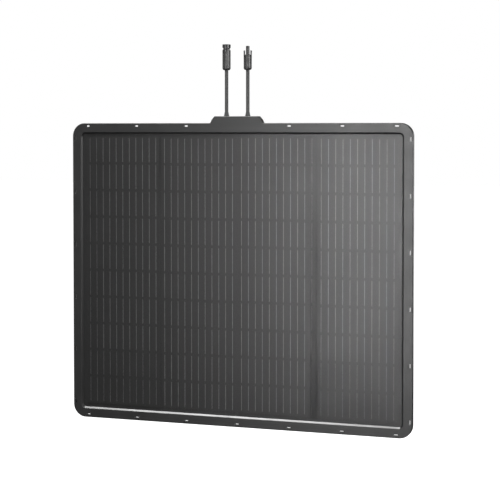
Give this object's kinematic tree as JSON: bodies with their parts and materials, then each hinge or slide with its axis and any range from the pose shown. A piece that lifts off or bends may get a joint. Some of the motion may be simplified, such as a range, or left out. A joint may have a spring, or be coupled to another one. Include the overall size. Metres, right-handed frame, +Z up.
{
  "type": "flexible solar sheet",
  "caption": "Framed flexible solar sheet with slotted edges, a junction box in a tab on the top edge, and two short leads with latching connectors.",
  "frame": {"origin": "centre of the frame's back face, not counting the tab", "axes": "+Z up along the short side towards the junction box, +Y out of the back, so the cells face -Y, and +X to the right as seen from the front"},
  "size_m": [0.812, 0.0186, 0.866],
  "materials": {
    "frame": "moulded black plastic, fine grain, satin",
    "film": "clear textured fluoropolymer film",
    "encapsulant": "clear laminated elastomer",
    "cell": "black monocrystalline silicon",
    "ribbon": "black-coated tinned copper ribbon",
    "tape": "black insulating strip",
    "back_sheet": "black glass-fibre laminate",
    "sealant": "black elastic sealant",
    "cover": "moulded black plastic, fine grain",
    "brass": "tinned brass",
    "diode": "moulded epoxy",
    "potting": "silicone potting",
    "relief": "moulded black elastomer",
    "lead": "black cross-linked cable sheath",
    "connector": "black glass-filled plastic",
    "seal": "black rubber"
  },
  "bodies": {
    "panel": {"front_bezel": "frame", "rear_frame": "frame", "edge_seal": "sealant", "front_film": "film", "back_sheet": "back_sheet", "front_encapsulant": "encapsulant", "rear_encapsulant": "encapsulant", "gap_cover_strip": "tape", "cell_string_1": "cell", "ribbons_string_1": "ribbon", "cell_string_2": "cell", "ribbons_string_2": "ribbon", "cell_string_3": "cell", "ribbons_string_3": "ribbon", "cell_string_4": "cell", "ribbons_string_4": "ribbon", "top_bus_ribbons": "ribbon", "bottom_bus_ribbons": "ribbon", "terminal_plates": "brass", "bypass_diodes": "diode", "diode_leads": "brass", "lead_cores": "brass", "core_clamps": "brass", "potting": "potting", "box_cover": "cover", "strain_relief_left": "relief", "lead_left": "lead", "strain_relief_right": "relief", "lead_right": "lead", "socket_housing": "connector", "socket_wire_seal": "seal", "plug_housing": "connector", "plug_wire_seal": "seal", "contact_pin": "brass", "contact_sleeve": "brass", "nose_seal": "seal"},
    "socket_cage_body": {"socket_cage": "connector"},
    "socket_nut_body": {"socket_gland_nut": "connector"},
    "plug_cage_body": {"plug_cage": "connector"},
    "plug_nut_body": {"plug_gland_nut": "connector"},
    "arm_left_body": {"latch_arm_left": "connector"},
    "arm_right_body": {"latch_arm_right": "connector"}
  },
  "joints": [
    {"name": "socket_cage_slide", "type": "slide", "parent": "panel", "child": "socket_cage_body", "axis": [0, 0, -1], "range_m": [0, 0.0045]},
    {"name": "socket_nut_turn", "type": "hinge", "parent": "socket_cage_body", "child": "socket_nut_body", "pos_m": [-0.0253, -0.005, 0.4635], "axis": [0, 0, -1], "range_deg": [0, 1080.1]},
    {"name": "plug_cage_slide", "type": "slide", "parent": "panel", "child": "plug_cage_body", "axis": [0, 0, -1], "range_m": [0, 0.0045]},
    {"name": "plug_nut_turn", "type": "hinge", "parent": "plug_cage_body", "child": "plug_nut_body", "pos_m": [0.0253, -0.005, 0.4635], "axis": [0, 0, -1], "range_deg": [0, 1080.1]},
    {"name": "latch_left", "type": "hinge", "parent": "panel", "child": "arm_left_body", "pos_m": [0.0173, -0.005, 0.4885], "axis": [0, 1, 0], "range_deg": [0, 4], "stiffness_Nm_per_rad": 1},
    {"name": "latch_right", "type": "hinge", "parent": "panel", "child": "arm_right_body", "pos_m": [0.0333, -0.005, 0.4885], "axis": [0, -1, 0], "range_deg": [0, 4], "stiffness_Nm_per_rad": 1}
  ],
  "couplings": [
    {"joint": "socket_nut_turn", "follows": "socket_cage_slide", "rad_per_m": 4188.8},
    {"joint": "plug_nut_turn", "follows": "plug_cage_slide", "rad_per_m": 4188.8}
  ]
}
